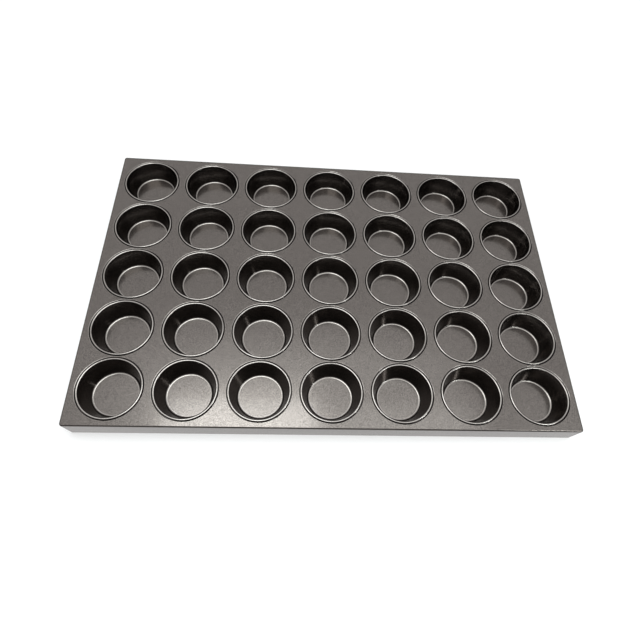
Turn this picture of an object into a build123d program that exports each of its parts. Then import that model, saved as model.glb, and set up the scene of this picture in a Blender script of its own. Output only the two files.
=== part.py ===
from build123d import *
from math import asin, atan2, cos, degrees, hypot, sin
import os

os.makedirs("parts", exist_ok=True)

# Muffin tray with 35 drawn cups crimped into one folded sheet, in millimetres.
# The origin is at the middle of the footprint, on the surface that the tray stands on.
# +X runs along the rows of seven cups, +Y to the back and +Z up.

# Counts
columns = 7
rows = 5

# Sheet metal
frame_sheet = 0.8
cup_sheet = 0.8

# One cup, drawn from sheet and measured inside
mouth_radius = 34.5
cup_depth = 23.5
bottom_flat_radius = 25.7
bottom_corner_radius = 2.4

# The crimped seam round each cup
seam_gap = 0.25
rim_rise = 0.5
groove_width = 0.5
seat_depth = 1.6

# Flat metal left between the pressed seats, and between them and the skirts
web_along_row = 7.3
web_between_rows = 0.2
side_border = 7.2
front_border = 6.1

# Skirts folded down on all four sides
skirt_height = 30.0
inner_bend_radius = 1.2
inner_corner_radius = 2.7
hem_height = 8.0
hem_fold_radius = 0.5
hem_notch = 4.0

# Tabs of the end skirts lapped inside the long skirts and spot welded
lap_width = 14.0
lap_relief = 1.0
spot_radius = 2.5
spot_depth = 0.2

# How far a cutting body runs past what it cuts
overrun = 1.0

# The rolled rim holds the collar of its seat with the seam gap on both sides
rim_radius = frame_sheet / 2 + seam_gap + cup_sheet
rim_bore = rim_radius - cup_sheet
rim_centre = mouth_radius + rim_radius
rim_level = rim_rise - rim_radius
collar_inner = rim_centre - frame_sheet / 2
collar_outer = rim_centre + frame_sheet / 2
collar_top = rim_level + seam_gap
seat_wall = rim_centre + rim_radius + groove_width
seat_outer = seat_wall + frame_sheet

# The tray grows with its cups
pitch_x = 2 * seat_outer + web_along_row
pitch_y = 2 * seat_outer + web_between_rows
tray_length = (columns - 1) * pitch_x + 2 * (seat_outer + side_border)
tray_width = (rows - 1) * pitch_y + 2 * (seat_outer + front_border)
bend_radius = inner_bend_radius + frame_sheet
corner_radius = inner_corner_radius + frame_sheet

# Wall line of a cup: the common tangent of its rim roll and its bottom corner
corner_level = bottom_corner_radius - cup_depth
run = rim_centre - bottom_flat_radius
rise = rim_level - corner_level
wall_lean = atan2(run, rise) - asin((rim_radius + bottom_corner_radius) / hypot(run, rise))


def off_wall(centre, distance):
    """Point at a distance from a centre, square to the leaning wall and away from the cup's axis."""
    return centre[0] + distance * cos(wall_lean), centre[1] - distance * sin(wall_lean)


# Seat for one cup, pressed into the plate: a shoulder, a ledge and a collar that stands up inside
# the cup's rim. It is drawn round its own axis, with zero height at the top of the plate.
ledge_underside = -seat_depth - frame_sheet
with BuildPart() as seat:
    with BuildSketch(Plane.XZ):
        with BuildLine():
            Line((seat_wall, 0), (seat_outer, 0))
            Line((seat_outer, 0), (seat_outer, -seat_depth))
            CenterArc((seat_wall, -seat_depth), frame_sheet, 0, -90)
            Line((seat_wall, ledge_underside), (collar_outer, ledge_underside))
            CenterArc((collar_outer, -seat_depth), frame_sheet, -90, -90)
            Polyline(
                (collar_inner, -seat_depth),
                (collar_inner, collar_top),
                (collar_outer, collar_top),
                (collar_outer, -seat_depth),
                (seat_wall, -seat_depth),
                (seat_wall, 0),
            )
        make_face()
    revolve(axis=Axis.Z)

# One drawn cup, round its own axis, with zero height at the top of the plate
rim_at = (rim_centre, rim_level)
corner_at = (bottom_flat_radius, corner_level)
lean = degrees(wall_lean)
with BuildPart() as drawn_cup:
    with BuildSketch(Plane.XZ):
        with BuildLine():
            Line((0, -cup_depth), (bottom_flat_radius, -cup_depth))
            CenterArc(corner_at, bottom_corner_radius, -90, 90 - lean)
            Line(off_wall(corner_at, bottom_corner_radius), off_wall(rim_at, -rim_radius))
            CenterArc(rim_at, rim_radius, 180 - lean, lean - 180)
            Polyline(
                (rim_centre + rim_radius, rim_level),
                (rim_centre + rim_radius, -seat_depth),
                (rim_centre + rim_bore, -seat_depth),
                (rim_centre + rim_bore, rim_level),
            )
            CenterArc(rim_at, rim_bore, 0, 180 - lean)
            Line(off_wall(rim_at, -rim_bore), off_wall(corner_at, bottom_corner_radius + cup_sheet))
            CenterArc(corner_at, bottom_corner_radius + cup_sheet, -lean, lean - 90)
            Polyline(
                (bottom_flat_radius, -cup_depth - cup_sheet),
                (0, -cup_depth - cup_sheet),
                (0, -cup_depth),
            )
        make_face()
    revolve(axis=Axis.Z)

# Space under the plate, inside the skirts
with BuildPart() as underside:
    with BuildSketch(Plane.XY.offset(-overrun)):
        RectangleRounded(
            tray_length - 2 * frame_sheet,
            tray_width - 2 * frame_sheet,
            inner_corner_radius,
        )
    extrude(amount=overrun + skirt_height - frame_sheet)
    fillet(underside.edges().group_by(Axis.Z)[-1], inner_bend_radius)


def hem_strip(length):
    """Lower edge of one skirt folded back against its inside, along X, with the skirt on its -Y side."""
    with BuildPart() as strip:
        with BuildSketch(Plane.YZ.offset(-length / 2)):
            with Locations((frame_sheet / 2, hem_height / 2)):
                Rectangle(frame_sheet, hem_height)
        extrude(amount=length)
        fillet(strip.edges().filter_by(Axis.X).group_by(Axis.Z)[0].sort_by(Axis.Y)[-1], hem_fold_radius)
    return strip.part


# Lap tab with two weld marks, upright on the XZ plane, with the long skirt on its -Y side
lap_foot = hem_height + lap_relief
lap_head = skirt_height - bend_radius - lap_relief
lap_height = lap_head - lap_foot
spot_spacing = lap_height / 2
with BuildPart() as lap_tab:
    with BuildSketch(Plane.XZ):
        with Locations((-lap_width / 2, lap_foot + lap_height / 2)):
            Rectangle(lap_width, lap_height)
    extrude(amount=-frame_sheet)
    with BuildSketch(Plane.XZ.offset(-frame_sheet)):
        with Locations((-lap_width / 2, lap_foot + lap_height / 2)):
            with GridLocations(spot_spacing, spot_spacing, 1, 2):
                Circle(spot_radius)
    extrude(amount=spot_depth, mode=Mode.SUBTRACT)

# The frame: plate, skirts, hems, laps and all seats in one folded and pressed sheet
plate_top = Plane.XY.offset(skirt_height)
long_hem = hem_strip(tray_length - 2 * (corner_radius + hem_notch))
short_hem = hem_strip(tray_width - 2 * (corner_radius + hem_notch))
inner_y = tray_width / 2 - frame_sheet
inner_x = tray_length / 2 - frame_sheet
lap_x = tray_length / 2 - corner_radius
with BuildPart() as tray_frame:
    with BuildSketch(Plane.XY):
        RectangleRounded(tray_length, tray_width, corner_radius)
    extrude(amount=skirt_height)
    fillet(tray_frame.edges().group_by(Axis.Z)[-1], bend_radius)
    fillet(tray_frame.edges().group_by(Axis.Z)[0], hem_fold_radius)
    add(underside.part, mode=Mode.SUBTRACT)
    for turn in (0, 180):
        with Locations(Location((0, 0, 0), (0, 0, turn))):
            with Locations((0, -inner_y, 0)):
                add(long_hem)
            with Locations((lap_x, -inner_y, 0)):
                add(lap_tab.part)
            with Locations((lap_width - lap_x, -inner_y, 0)):
                add(lap_tab.part)
        with Locations(Location((0, 0, 0), (0, 0, turn + 90))):
            with Locations((0, -inner_x, 0)):
                add(short_hem)
    with BuildSketch(plate_top):
        with GridLocations(pitch_x, pitch_y, columns, rows):
            Circle(seat_wall)
    extrude(amount=-seat_depth, mode=Mode.SUBTRACT)
    with Locations(plate_top):
        with GridLocations(pitch_x, pitch_y, columns, rows):
            add(seat.part)
    seat_mouths = tray_frame.edges().group_by(Axis.Z)[-1].filter_by(GeomType.CIRCLE)
    fillet(seat_mouths.group_by(SortBy.RADIUS)[-1], frame_sheet)
tray_frame.part.label = "tray_frame"
export_step(tray_frame.part, "parts/tray_frame.step")

# The cups, row 1 at the front and column 1 at the left
first_x = -(columns - 1) / 2 * pitch_x
first_y = -(rows - 1) / 2 * pitch_y
for row in range(rows):
    for column in range(columns):
        with BuildPart() as cup:
            with Locations((first_x + column * pitch_x, first_y + row * pitch_y, skirt_height)):
                add(drawn_cup.part)
        cup.part.label = f"cup_r{row + 1}_c{column + 1}"
        export_step(cup.part, f"parts/{cup.part.label}.step")

print("tray", tray_length, tray_width, skirt_height + rim_rise, "pitch", pitch_x, pitch_y, "lean", lean)
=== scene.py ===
from math import radians

import bpy
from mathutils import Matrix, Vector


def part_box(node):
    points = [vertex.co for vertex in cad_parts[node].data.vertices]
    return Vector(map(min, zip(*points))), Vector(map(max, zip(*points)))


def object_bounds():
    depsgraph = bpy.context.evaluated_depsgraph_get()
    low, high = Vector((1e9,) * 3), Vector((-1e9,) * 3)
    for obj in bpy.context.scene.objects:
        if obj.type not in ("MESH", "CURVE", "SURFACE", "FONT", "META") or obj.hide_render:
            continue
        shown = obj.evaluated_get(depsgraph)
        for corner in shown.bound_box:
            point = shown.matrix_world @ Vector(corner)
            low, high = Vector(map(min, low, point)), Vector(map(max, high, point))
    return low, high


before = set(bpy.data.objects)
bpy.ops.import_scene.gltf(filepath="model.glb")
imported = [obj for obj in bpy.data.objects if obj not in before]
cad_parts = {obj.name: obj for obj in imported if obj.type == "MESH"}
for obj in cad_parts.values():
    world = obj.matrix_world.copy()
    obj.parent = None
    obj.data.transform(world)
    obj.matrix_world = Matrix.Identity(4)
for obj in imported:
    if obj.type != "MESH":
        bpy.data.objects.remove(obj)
cad_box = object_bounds()


# Tray frame.
# One steel sheet, pressed with 35 round seats and folded down into four skirts with hemmed edges.
# It is sprayed inside and out with a flake-filled non-stick coat, which is baked on.
MM = 0.001

cups = {name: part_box(name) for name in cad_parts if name.startswith("cup_")}
pitch = [cups["cup_r2_c2"][0][i] - cups["cup_r1_c1"][0][i] for i in (0, 1)]
cups_beside_middle = (3, 2)      # along X and along Y
plate_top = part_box("tray_frame")[1][2]

# The coat's patterns
askew = (0.6, 0.8, 0.3)
flake = 0.65 * MM                # real flakes are under 0.1 mm; drawn coarser, or they wouldn't show
flake_share = 0.96               # of the mottle; the rest is clouds
flake_range = (0.35, 0.65)       # noise levels from the darkest to the lightest grain
cloud = 9 * MM                   # uneven passes of the spray gun
patch = 27 * MM                  # patches where wear, painted highlights and painted shade are stronger
patch_range = (0.2, 0.6)
weakest_patch = 0.55
peel = 2.2 * MM                  # orange peel of a sprayed coat
peel_depth = 0.0004 * MM
sheet_wave = 70 * MM             # waves that pressing leaves in thin sheet
sheet_wave_depth = 0.15 * MM

# Marks in it
rub_length = 30 * MM             # marks that scrapers and washing leave
rub_width = 0.9 * MM
rub_angle = radians(35)
rub_range = (0.62, 0.72)
rub_cloud_range = (0.45, 0.6)
rub_strength = 0.02
speck = 4.5 * MM                 # from one light speck to the next, where the coat has lost a crumb
speck_radius = 0.35 * MM
speck_range = (0.93, 0.95)       # only one in fifteen shows
speck_strength = 0.6

# Its gloss
clear_skin = 0.3                 # resin that rose to the top in baking
skin_roughness = 0.06
wear_and_highlight_haze = 0.08                 # added where the coat is rubbed thin and where highlights are painted


def linear(hex_colour):
    """sRGB hex colour as linear RGBA."""
    channels = [int(hex_colour[i:i + 2], 16) / 255 for i in (1, 3, 5)]
    curve = [c / 12.92 if c <= 0.04045 else ((c + 0.055) / 1.055) ** 2.4 for c in channels]
    return (*curve, 1.0)


coat_dark = linear("#4F4B48")
coat_light = linear("#7A7470")
# Rubbed-thin coat, also used for painted highlights on rim crowns, bottom corners and seat edges
thin_coat_and_highlight = linear("#C9C4BF")
# Painted shade for the grooves round the cups and the rims' flanks in them
groove_shade_colour = linear("#241F1C")


def add(tree, kind, settings):
    """One node with its settings. An input takes a value or another node's output. Gives its outputs."""
    node = tree.nodes.new(kind)
    for name, value in settings.items():
        if isinstance(value, bpy.types.NodeSocket):
            tree.links.new(value, node.inputs[name])
        elif isinstance(name, int) or name in node.inputs:
            node.inputs[name].default_value = value
        else:
            setattr(node, name, value)
    return node.outputs


# Settings of a smooth step, and the mix node's numbered slots: 2 and 3 hold values, 6 and 7 colours
smooth = {"interpolation_type": "SMOOTHSTEP"}
colours = {"data_type": "RGBA"}
COLOUR_OUT = 2


def non_stick_coat(name, seed, glance, haze, find_wear_and_painted_light):
    """Sprayed non-stick coat: satin metallic grey, finely mottled, dark where it mirrors itself, lighter
    where it is worn and where highlights are painted, and darker where shade is painted. Glance is its
    level at a glancing angle, where the flakes hide each other, and haze its roughness."""
    coat = bpy.data.materials.new(name)
    coat.use_nodes = True
    tree = coat.node_tree
    shader = tree.nodes["Principled BSDF"]
    at = add(tree, "ShaderNodeTexCoord", {})["Object"]
    # The pattern is turned, because a flat face along its lattice would cut it where it has no contrast.
    place = add(tree, "ShaderNodeMapping", {
        "Vector": at, "Location": (seed, seed, seed), "Rotation": askew})[0]

    # Flakes and clouds of the fresh coat
    flakes = add(tree, "ShaderNodeTexNoise", {"Vector": place, "Scale": 1 / flake, "Detail": 1.0})["Fac"]
    clouds = add(tree, "ShaderNodeTexNoise", {"Vector": place, "Scale": 1 / cloud, "Detail": 1.0})["Fac"]
    mottle = add(tree, "ShaderNodeMix", {"Factor": flake_share, 2: clouds, 3: flakes})[0]
    grain = add(tree, "ShaderNodeMapRange", {
        **smooth, "Value": mottle, "From Min": flake_range[0], "From Max": flake_range[1]})[0]
    fresh = add(tree, "ShaderNodeMix", {
        **colours, "Factor": grain, 6: coat_dark, 7: coat_light})[COLOUR_OUT]

    # Faint rub marks, in some of the clouds
    along = add(tree, "ShaderNodeMapping", {
        "Vector": at, "Rotation": (0, 0, rub_angle),
        "Scale": (1 / rub_length, 1 / rub_width, 1 / rub_width)})[0]
    marks = add(tree, "ShaderNodeTexNoise", {"Vector": along, "Scale": 1.0, "Detail": 1.0})["Fac"]
    strength = add(tree, "ShaderNodeMapRange", {
        **smooth, "Value": clouds, "From Min": rub_cloud_range[0], "From Max": rub_cloud_range[1],
        "To Max": rub_strength})[0]
    rubbed = add(tree, "ShaderNodeMapRange", {
        **smooth, "Value": marks, "From Min": rub_range[0], "From Max": rub_range[1],
        "To Max": strength})[0]

    # Light specks, at a few of the crumbs' places
    crumbs = add(tree, "ShaderNodeTexVoronoi", {"Vector": place, "Scale": 1 / speck})
    chance = add(tree, "ShaderNodeSeparateColor", {"Color": crumbs["Color"]})["Red"]
    strength = add(tree, "ShaderNodeMapRange", {
        **smooth, "Value": chance, "From Min": speck_range[0], "From Max": speck_range[1],
        "To Max": speck_strength})[0]
    specks = add(tree, "ShaderNodeMapRange", {
        **smooth, "Value": crumbs["Distance"], "From Min": speck_radius / speck / 2,
        "From Max": speck_radius / speck, "To Min": strength, "To Max": 0.0})[0]

    # Wear, painted highlights and painted shade in the grooves, in patches
    wear_and_highlight, painted_shade = find_wear_and_painted_light(tree, at)
    patches = add(tree, "ShaderNodeTexNoise", {"Vector": place, "Scale": 1 / patch, "Detail": 3.0})["Fac"]
    uneven = add(tree, "ShaderNodeMapRange", {
        **smooth, "Value": patches, "From Min": patch_range[0], "From Max": patch_range[1],
        "To Min": weakest_patch, "To Max": 1.0})[0]
    patchy_shade = add(tree, "ShaderNodeMath", {"operation": "MULTIPLY", 0: painted_shade, 1: uneven})[0]
    thin_and_highlight = add(tree, "ShaderNodeMath", {"operation": "MULTIPLY", 0: wear_and_highlight, 1: uneven})[0]
    for mark in (specks, rubbed):
        thin_and_highlight = add(tree, "ShaderNodeMath", {"operation": "MAXIMUM", 0: thin_and_highlight, 1: mark})[0]
    # Painted shade in the grooves
    shaded = add(tree, "ShaderNodeMix", {**colours, "Factor": patchy_shade, 6: fresh, 7: groove_shade_colour})[COLOUR_OUT]
    # Lighter where the coat is worn, and painted highlights
    colour = add(tree, "ShaderNodeMix", {**colours, "Factor": thin_and_highlight, 6: shaded, 7: thin_coat_and_highlight})[COLOUR_OUT]
    roughness = add(tree, "ShaderNodeMapRange", {
        **smooth, "Value": thin_and_highlight, "To Min": haze, "To Max": haze + wear_and_highlight_haze})[0]

    # Orange peel on the sheet's slow waves
    skin = add(tree, "ShaderNodeTexNoise", {"Vector": place, "Scale": 1 / peel, "Detail": 1.0})["Fac"]
    skin = add(tree, "ShaderNodeBump", {"Strength": 1.0, "Distance": peel_depth, "Height": skin})[0]
    wave = add(tree, "ShaderNodeTexNoise", {"Vector": place, "Scale": 1 / sheet_wave, "Detail": 1.0})["Fac"]
    wave = add(tree, "ShaderNodeBump", {
        "Strength": 1.0, "Distance": sheet_wave_depth, "Height": wave, "Normal": skin})[0]

    shader.inputs["Metallic"].default_value = 1.0
    shader.inputs["Specular Tint"].default_value = (glance, glance, glance, 1.0)
    shader.inputs["Coat Weight"].default_value = clear_skin
    shader.inputs["Coat Roughness"].default_value = skin_roughness
    tree.links.new(colour, shader.inputs["Base Color"])
    tree.links.new(roughness, shader.inputs["Roughness"])
    tree.links.new(wave, shader.inputs["Normal"])
    return coat


def from_axis(tree, coordinate, step, last):
    """Distance along X or Y from the middle of the nearest cup, for cups at whole steps from the origin."""
    nearest = coordinate
    for operation, value in (("DIVIDE", step), ("ROUND", 0), ("MAXIMUM", -last), ("MINIMUM", last),
                             ("MULTIPLY", step)):
        nearest = add(tree, "ShaderNodeMath", {"operation": operation, 0: nearest, 1: value})[0]
    return add(tree, "ShaderNodeMath", {"operation": "SUBTRACT", 0: coordinate, 1: nearest})[0]


def place_in_cup(tree, at):
    """Distance from the axis of the nearest cup, and height."""
    coords = add(tree, "ShaderNodeSeparateXYZ", {"Vector": at})
    x = from_axis(tree, coords["X"], pitch[0], cups_beside_middle[0])
    y = from_axis(tree, coords["Y"], pitch[1], cups_beside_middle[1])
    flat = add(tree, "ShaderNodeCombineXYZ", {"X": x, "Y": y})[0]
    radius = add(tree, "ShaderNodeVectorMath", {"operation": "LENGTH", 0: flat})["Value"]
    return radius, coords["Z"]


def band(tree, value, low, high, soft, strength):
    """A strength between two values, fading to 0 over a soft edge outside them."""
    rise = add(tree, "ShaderNodeMapRange", {
        **smooth, "Value": value, "From Min": low - soft, "From Max": low, "To Max": strength})[0]
    return add(tree, "ShaderNodeMapRange", {
        **smooth, "Value": value, "From Min": high, "From Max": high + soft,
        "To Min": rise, "To Max": 0.0})[0]


hem_rub = (0.3 * MM, 1.2 * MM)           # heights over which the hem's wear fades
hem_rub_strength = 0.5
seat_edge = (38.0 * MM, 38.6 * MM)       # the round edge of a seat, from the cup's axis, where a highlight is painted
seat_edge_soft = 0.3 * MM
seat_edge_depth = (1.0 * MM, 0.7 * MM)   # below the plate
seat_highlight_strength = 0.25
groove_depth = (0.6 * MM, 0.2 * MM)      # where shade is painted in the groove, below the plate
groove_end = (38.3 * MM, 38.7 * MM)
groove_shade_strength = 0.9


def frame_wear_and_painted_light(tree, at):
    """Lighter: the lower edge of the skirts, which slides on shelves and is worn, and a painted highlight
    on the edge of the groove round each cup. Darker: painted shade in the groove itself."""
    radius, height = place_in_cup(tree, at)
    hem = add(tree, "ShaderNodeMapRange", {
        **smooth, "Value": height, "From Min": hem_rub[0], "From Max": hem_rub[1],
        "To Min": hem_rub_strength, "To Max": 0.0})[0]
    near_top = add(tree, "ShaderNodeMapRange", {
        **smooth, "Value": height, "From Min": plate_top - seat_edge_depth[0],
        "From Max": plate_top - seat_edge_depth[1], "To Max": seat_highlight_strength})[0]
    # Painted highlight on the round edge of each seat
    edge = band(tree, radius, *seat_edge, seat_edge_soft, near_top)
    wear_and_highlight = add(tree, "ShaderNodeMath", {"operation": "MAXIMUM", 0: hem, 1: edge})[0]
    # Painted shade in the groove round each cup
    low_down = add(tree, "ShaderNodeMapRange", {
        **smooth, "Value": height, "From Min": plate_top - groove_depth[0],
        "From Max": plate_top - groove_depth[1], "To Min": groove_shade_strength, "To Max": 0.0})[0]
    painted_shade = add(tree, "ShaderNodeMapRange", {
        **smooth, "Value": radius, "From Min": groove_end[0], "From Max": groove_end[1],
        "To Min": low_down, "To Max": 0.0})[0]
    return wear_and_highlight, painted_shade


frame_coat = non_stick_coat("sprayed_non_stick_coat_frame", 0.0, 0.85, 0.18, frame_wear_and_painted_light)
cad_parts["tray_frame"].material_slots[0].material = frame_coat


# Cups.
# Thirty-five equal cups, each drawn from a round steel blank and crimped over the collar of its seat.
# They are sprayed together with the frame, so they carry the same coat. It is drawn lighter on the rims and
# on the corner round each bottom, partly as wear and partly as a painted highlight, and darker on each
# rim's flank in the groove, as painted shade.
crown_rub_and_highlight = (-0.1 * MM, 0.35 * MM)       # above the plate, up the rolled rim
crown_strength = 0.5
bottom_corner = (25.7 * MM, 27.2 * MM)   # from the cup's axis
bottom_corner_soft = 0.5 * MM
bottom_corner_strength = 0.3
flank = (36.7 * MM, 37.1 * MM)           # outside of the rim, in the groove, where shade is painted
flank_depth = 0.2 * MM


def cup_wear_and_painted_light(tree, at):
    """Lighter: the crown of each rim and the corner round each bottom, partly rubbed thin and partly a
    painted
    highlight. Darker: painted shade on the flank of the rim that stands in the groove."""
    radius, height = place_in_cup(tree, at)
    # The crown of each rim: rubbed, and also a painted highlight
    crown = add(tree, "ShaderNodeMapRange", {
        **smooth, "Value": height, "From Min": plate_top + crown_rub_and_highlight[0],
        "From Max": plate_top + crown_rub_and_highlight[1], "To Max": crown_strength})[0]
    # The corner round each bottom: rubbed, and also a painted highlight
    ring = band(tree, radius, *bottom_corner, bottom_corner_soft, bottom_corner_strength)
    wear_and_highlight = add(tree, "ShaderNodeMath", {"operation": "MAXIMUM", 0: crown, 1: ring})[0]
    # Painted shade on the flank of the rim in the groove
    outside = add(tree, "ShaderNodeMapRange", {
        **smooth, "Value": radius, "From Min": flank[0], "From Max": flank[1],
        "To Max": groove_shade_strength})[0]
    painted_shade = add(tree, "ShaderNodeMapRange", {
        **smooth, "Value": height, "From Min": plate_top - flank_depth, "From Max": plate_top,
        "To Min": outside, "To Max": 0.0})[0]
    return wear_and_highlight, painted_shade


cup_coat = non_stick_coat("sprayed_non_stick_coat_cups", 3.7, 0.48, 0.2, cup_wear_and_painted_light)
for name in cups:
    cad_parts[name].material_slots[0].material = cup_coat


# Floor.
# Plain white paper, laid flat, out to where the camera never looks. The eye sees it lifted to white, a
# little more far away, where the lamps no longer reach it.
floor_half = 6.0
paper_grey = linear("#CBCBCB")
white = linear("#FFFFFF")
lift_distance = (0.5, 1.5)               # from the middle of the tray
lift_level = (0.41, 0.54)

mesh = bpy.data.meshes.new("floor")
mesh.from_pydata(
    [(-floor_half, -floor_half, 0), (floor_half, -floor_half, 0),
     (floor_half, floor_half, 0), (-floor_half, floor_half, 0)],
    [], [(0, 1, 2, 3)])
floor = bpy.data.objects.new("floor", mesh)
bpy.context.scene.collection.objects.link(floor)

paper = bpy.data.materials.new("white_paper")
paper.use_nodes = True
tree = paper.node_tree
tree.nodes.clear()
rays = add(tree, "ShaderNodeLightPath", {})
at = add(tree, "ShaderNodeTexCoord", {})["Object"]
far = add(tree, "ShaderNodeVectorMath", {"operation": "LENGTH", 0: at})["Value"]
level = add(tree, "ShaderNodeMapRange", {
    **smooth, "Value": far, "From Min": lift_distance[0], "From Max": lift_distance[1],
    "To Min": lift_level[0], "To Max": lift_level[1]})[0]
lift = add(tree, "ShaderNodeMath", {"operation": "MULTIPLY", 0: rays["Is Camera Ray"], 1: level})[0]
glow = add(tree, "ShaderNodeEmission", {"Color": white, "Strength": lift})[0]
matt = add(tree, "ShaderNodeBsdfDiffuse", {"Color": paper_grey})[0]
lit = add(tree, "ShaderNodeAddShader", {0: glow, 1: matt})[0]
mirrored = add(tree, "ShaderNodeEmission", {"Color": white, "Strength": 1.0})[0]
seen = add(tree, "ShaderNodeMixShader", {"Fac": rays["Is Glossy Ray"], 1: lit, 2: mirrored})[0]
add(tree, "ShaderNodeOutputMaterial", {"Surface": seen})
mesh.materials.append(paper)


# World.
# White for the eye. In the tray's reflections it is a room with a white ceiling and darker walls low
# down, and it is darkest behind the camera.
air_level = 0.8                          # for all but the eye and the reflections
wall_top = (0.45, 0.64)                  # heights of a direction at which the wall meets the ceiling
wall_level = 0.16
ceiling_axis = (0, 0.34, 0.94)
ceiling_range = (0.35, 0.65)             # nearness to that axis
behind_level = 0.2                       # share left behind the camera

world = bpy.data.worlds.new("studio_room")
bpy.context.scene.world = world
world.use_nodes = True
tree = world.node_tree
tree.nodes.clear()
rays = add(tree, "ShaderNodeLightPath", {})
sight = add(tree, "ShaderNodeTexCoord", {})["Generated"]
height = add(tree, "ShaderNodeSeparateXYZ", {"Vector": sight})["Z"]
facing = add(tree, "ShaderNodeVectorMath", {"operation": "DOT_PRODUCT", 0: sight, 1: ceiling_axis})["Value"]
up = add(tree, "ShaderNodeMapRange", {
    **smooth, "Value": height, "From Min": wall_top[0], "From Max": wall_top[1],
    "To Min": wall_level, "To Max": 1.0})[0]
front = add(tree, "ShaderNodeMapRange", {
    **smooth, "Value": facing, "From Min": ceiling_range[0], "From Max": ceiling_range[1],
    "To Min": behind_level, "To Max": 1.0})[0]
room = add(tree, "ShaderNodeMath", {"operation": "MULTIPLY", 0: up, 1: front})[0]
mirrored = add(tree, "ShaderNodeMix", {"Factor": rays["Is Glossy Ray"], 2: air_level, 3: room})[0]
shown = add(tree, "ShaderNodeMix", {"Factor": rays["Is Camera Ray"], 2: mirrored, 3: 1.0})[0]
air = add(tree, "ShaderNodeBackground", {"Color": white, "Strength": shown})[0]
add(tree, "ShaderNodeOutputWorld", {"Surface": air})


# Lamps.
# A soft box over the left half of the front edge, a weaker one beside it to the right with a faint glow
# past its end, the glow that both leave on the ceiling, and a strip lamp low at the front right, which
# draws the thin streak down the wall of each cup. They are slightly cool, as daylight is.
def soft_box(name, place, width, depth, edge, watts):
    """Flat lamp that shines straight down and fades over its edge, a share of its half size."""
    light = bpy.data.lights.new(name, "AREA")
    light.shape = "RECTANGLE"
    light.size = width
    light.size_y = depth
    light.energy = watts
    light.color = (0.95, 1.0, 1.0)
    light.use_nodes = True
    tree = light.node_tree
    across = add(tree, "ShaderNodeNewGeometry", {})["Parametric"]
    offset = add(tree, "ShaderNodeVectorMath", {"operation": "SUBTRACT", 0: across, 1: (0.5, 0.5, 0)})[0]
    aside = add(tree, "ShaderNodeVectorMath", {"operation": "ABSOLUTE", 0: offset})[0]
    parts = add(tree, "ShaderNodeSeparateXYZ", {"Vector": aside})
    fade = 1.0
    for part in ("X", "Y"):
        fade = add(tree, "ShaderNodeMapRange", {
            **smooth, "Value": parts[part], "From Min": (1 - edge) / 2, "From Max": 0.5,
            "To Min": fade, "To Max": 0.0})[0]
    tree.links.new(fade, tree.nodes["Emission"].inputs["Strength"])
    lamp = bpy.data.objects.new(name, light)
    lamp.location = place
    lamp.visible_camera = False
    bpy.context.scene.collection.objects.link(lamp)
    return lamp


soft_box("key_soft_box", (-0.215, -0.093, 1.0), width=0.56, depth=0.53, edge=0.15, watts=4.25)
soft_box("fill_soft_box", (0.34, -0.08, 1.0), width=0.66, depth=0.57, edge=0.4, watts=1.65)
soft_box("end_glow", (0.88, 0.05, 1.0), width=0.6, depth=0.5, edge=1.0, watts=0.45)
soft_box("ceiling_glow", (0.0, 0.02, 1.0), width=1.9, depth=1.0, edge=0.8, watts=6.9)
strip = soft_box("strip_lamp", (0.466, -0.332, 0.283), width=0.05, depth=0.42, edge=0.5, watts=0.8)
strip.rotation_euler = (radians(45), 0, radians(55))


# Camera.
# At the photograph's angle, above the left half of the front edge. Place, turn and lens come from a fit
# to the plate's edges and the rims and bottoms of all cups.
camera_above_rims = 0.4962

lens = bpy.data.cameras.new("camera")
lens.sensor_width = 36.0
lens.lens = 24.964
lens.shift_x = -0.0081
lens.shift_y = 0.0351
camera = bpy.data.objects.new("camera", lens)
camera.location = (-0.0463, -0.3224, cad_box[1][2] + camera_above_rims)
camera.rotation_euler = (radians(24.886), radians(-4.307), radians(-0.384))
bpy.context.scene.collection.objects.link(camera)
bpy.context.scene.camera = camera
bpy.context.scene.view_settings.view_transform = "Standard"
